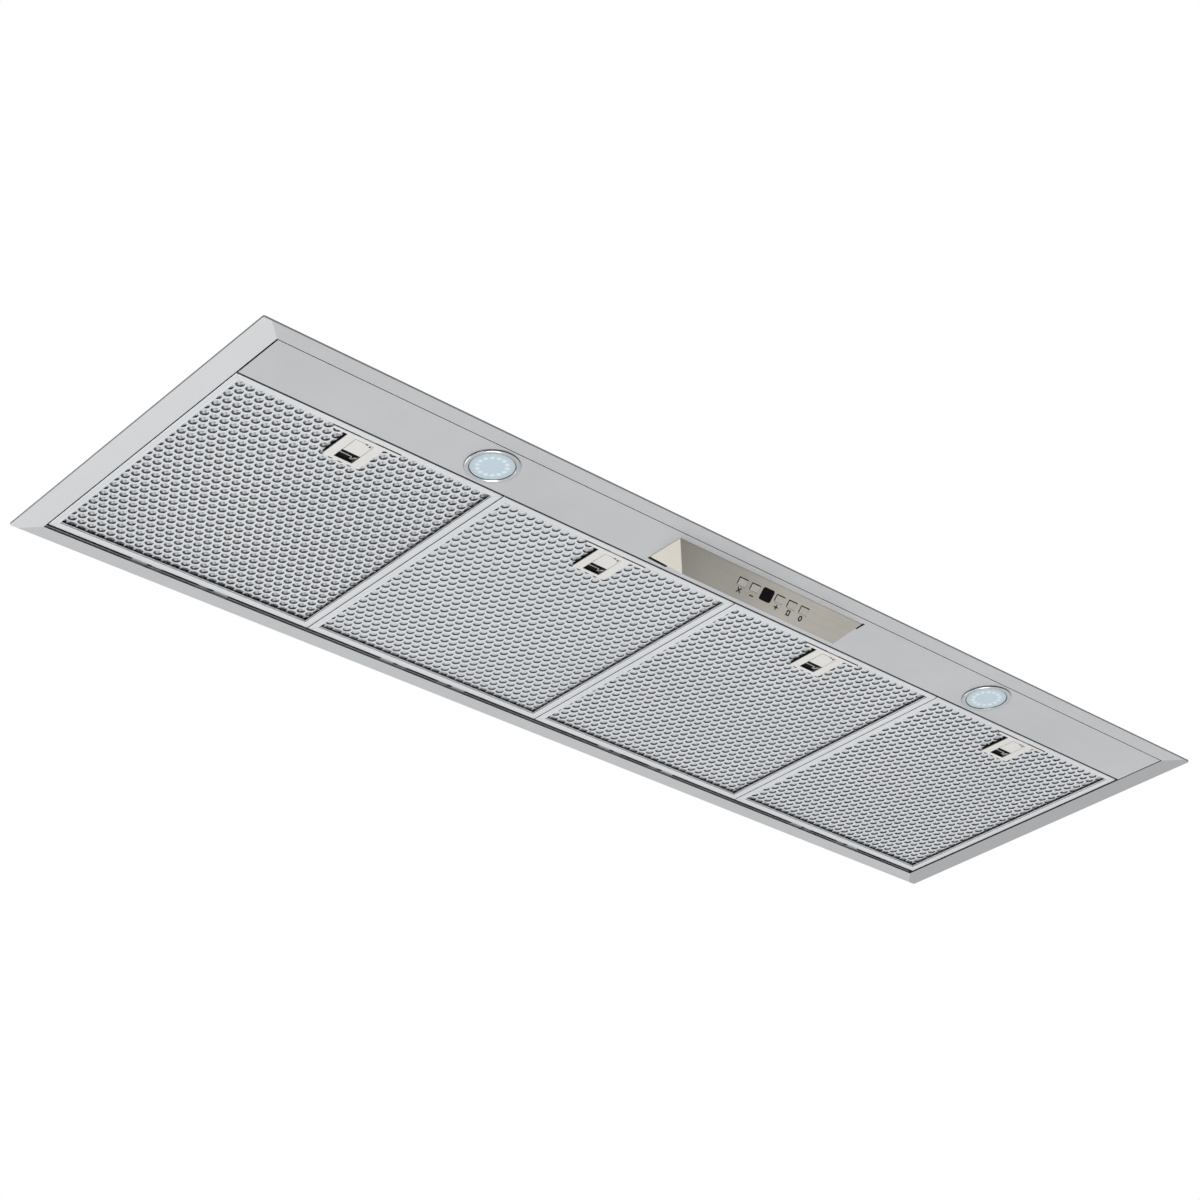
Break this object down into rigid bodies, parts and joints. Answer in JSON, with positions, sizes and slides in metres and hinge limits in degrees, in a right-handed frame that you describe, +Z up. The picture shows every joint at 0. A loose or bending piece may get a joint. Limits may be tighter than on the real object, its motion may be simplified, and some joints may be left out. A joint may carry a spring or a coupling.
{
  "type": "range hood insert",
  "caption": "Built-in extractor hood for the underside of a cabinet, with tilting grease filters, lamps, push-button console, fans and a round duct collar with non-return flaps.",
  "frame": {"origin": "centre of the cabinet cut-out, on the upper face of the flange, which meets the cabinet", "axes": "+X to the right seen from the cook, +Y towards the rear wall, +Z up"},
  "size_m": [1.2, 0.4, 0.1925],
  "materials": {
    "satin_steel": "satin brushed stainless sheet",
    "console_steel": "brushed stainless sheet",
    "plenum_steel": "plain sheet steel",
    "rim_aluminium": "rolled aluminium, matt",
    "face_aluminium": "perforated aluminium sheet",
    "core_aluminium": "expanded aluminium foil",
    "latch_plate": "warm light grey paint",
    "spring_wire": "bright drawn wire",
    "lamp_chrome": "polished",
    "lamp_lens": "frosted, pale blue",
    "lamp_heatsink": "cast, matt",
    "display_glass": "black, glossy",
    "button_cap": "satin metallic",
    "circuit_board": "green laminate",
    "blower_plastic": "dark moulded plastic",
    "motor_paint": "grey paint",
    "box_plastic": "grey moulded plastic",
    "gland_plastic": "black nylon",
    "fastener_zinc": "zinc plated"
  },
  "bodies": {
    "housing": {"trim_frame": "satin_steel", "deck_plate": "satin_steel", "console_housing": "console_steel", "plenum_shell": "plenum_steel", "filter_rail_front": "plenum_steel", "filter_rail_rear": "plenum_steel", "duct_collar": "plenum_steel", "inlet_guards": "spring_wire", "lamp_bezel_left": "lamp_chrome", "lamp_bezel_right": "lamp_chrome", "lamp_lens_left": "lamp_lens", "lamp_lens_right": "lamp_lens", "lamp_body_left": "lamp_heatsink", "lamp_body_right": "lamp_heatsink", "display_window": "display_glass", "button_board": "circuit_board", "control_board": "circuit_board", "blower_housing": "blower_plastic", "blower_cover": "blower_plastic", "motor_left": "motor_paint", "motor_right": "motor_paint", "control_box": "box_plastic", "control_box_lid": "box_plastic", "cable_gland": "gland_plastic", "top_screws": "fastener_zinc", "skirt_rivets": "fastener_zinc"},
    "filter_1": {"filter_rim_1": "rim_aluminium", "filter_face_1": "face_aluminium", "filter_core_1": "core_aluminium", "latch_case_1": "latch_plate", "latch_spring_1": "spring_wire"},
    "latch_1": {"latch_slider_1": "latch_plate"},
    "filter_2": {"filter_rim_2": "rim_aluminium", "filter_face_2": "face_aluminium", "filter_core_2": "core_aluminium", "latch_case_2": "latch_plate", "latch_spring_2": "spring_wire"},
    "latch_2": {"latch_slider_2": "latch_plate"},
    "filter_3": {"filter_rim_3": "rim_aluminium", "filter_face_3": "face_aluminium", "filter_core_3": "core_aluminium", "latch_case_3": "latch_plate", "latch_spring_3": "spring_wire"},
    "latch_3": {"latch_slider_3": "latch_plate"},
    "filter_4": {"filter_rim_4": "rim_aluminium", "filter_face_4": "face_aluminium", "filter_core_4": "core_aluminium", "latch_case_4": "latch_plate", "latch_spring_4": "spring_wire"},
    "latch_4": {"latch_slider_4": "latch_plate"},
    "push_button_1": {"button_1": "button_cap"},
    "push_button_2": {"button_2": "button_cap"},
    "push_button_3": {"button_3": "button_cap"},
    "push_button_4": {"button_4": "button_cap"},
    "push_button_5": {"button_5": "button_cap"},
    "fan_left": {"wheel_left": "blower_plastic"},
    "damper_left": {"flap_left": "plenum_steel"},
    "fan_right": {"wheel_right": "blower_plastic"},
    "damper_right": {"flap_right": "plenum_steel"}
  },
  "joints": [
    {"name": "filter_1_tilt", "type": "hinge", "parent": "housing", "child": "filter_1", "pos_m": [-0.43035, 0.1788, 0.00085], "axis": [1, 0, 0], "range_deg": [0, 80]},
    {"name": "latch_1_slide", "type": "slide", "parent": "filter_1", "child": "latch_1", "axis": [0, 1, 0], "range_m": [0, 0.009], "stiffness_N_per_m": 250, "springref_m": -0.006, "deforming": ["latch_spring_1"]},
    {"name": "filter_2_tilt", "type": "hinge", "parent": "housing", "child": "filter_2", "pos_m": [-0.14345, 0.1788, 0.00085], "axis": [1, 0, 0], "range_deg": [0, 80]},
    {"name": "latch_2_slide", "type": "slide", "parent": "filter_2", "child": "latch_2", "axis": [0, 1, 0], "range_m": [0, 0.009], "stiffness_N_per_m": 250, "springref_m": -0.006, "deforming": ["latch_spring_2"]},
    {"name": "filter_3_tilt", "type": "hinge", "parent": "housing", "child": "filter_3", "pos_m": [0.14345, 0.1788, 0.00085], "axis": [1, 0, 0], "range_deg": [0, 80]},
    {"name": "latch_3_slide", "type": "slide", "parent": "filter_3", "child": "latch_3", "axis": [0, 1, 0], "range_m": [0, 0.009], "stiffness_N_per_m": 250, "springref_m": -0.006, "deforming": ["latch_spring_3"]},
    {"name": "filter_4_tilt", "type": "hinge", "parent": "housing", "child": "filter_4", "pos_m": [0.43035, 0.1788, 0.00085], "axis": [1, 0, 0], "range_deg": [0, 80]},
    {"name": "latch_4_slide", "type": "slide", "parent": "filter_4", "child": "latch_4", "axis": [0, 1, 0], "range_m": [0, 0.009], "stiffness_N_per_m": 250, "springref_m": -0.006, "deforming": ["latch_spring_4"]},
    {"name": "button_1_press", "type": "slide", "parent": "housing", "child": "push_button_1", "axis": [0, 0.7071, 0.7071], "range_m": [0, 0.001], "stiffness_N_per_m": 900, "springref_m": -0.0005},
    {"name": "button_2_press", "type": "slide", "parent": "housing", "child": "push_button_2", "axis": [0, 0.7071, 0.7071], "range_m": [0, 0.001], "stiffness_N_per_m": 900, "springref_m": -0.0005},
    {"name": "button_3_press", "type": "slide", "parent": "housing", "child": "push_button_3", "axis": [0, 0.7071, 0.7071], "range_m": [0, 0.001], "stiffness_N_per_m": 900, "springref_m": -0.0005},
    {"name": "button_4_press", "type": "slide", "parent": "housing", "child": "push_button_4", "axis": [0, 0.7071, 0.7071], "range_m": [0, 0.001], "stiffness_N_per_m": 900, "springref_m": -0.0005},
    {"name": "button_5_press", "type": "slide", "parent": "housing", "child": "push_button_5", "axis": [0, 0.7071, 0.7071], "range_m": [0, 0.001], "stiffness_N_per_m": 900, "springref_m": -0.0005},
    {"name": "fan_left_spin", "type": "hinge", "parent": "housing", "child": "fan_left", "pos_m": [-0.23, 0.0705, 0.091], "axis": [0, 0, 1], "continuous": true},
    {"name": "fan_right_spin", "type": "hinge", "parent": "housing", "child": "fan_right", "pos_m": [0.23, 0.0705, 0.091], "axis": [0, 0, 1], "continuous": true},
    {"name": "damper_left_swing", "type": "hinge", "parent": "housing", "child": "damper_left", "pos_m": [-0.0036, 0.0705, 0.14], "axis": [0, 1, 0], "range_deg": [0, 80]},
    {"name": "damper_right_swing", "type": "hinge", "parent": "housing", "child": "damper_right", "pos_m": [0.0036, 0.0705, 0.14], "axis": [0, -1, 0], "range_deg": [0, 80]}
  ]
}
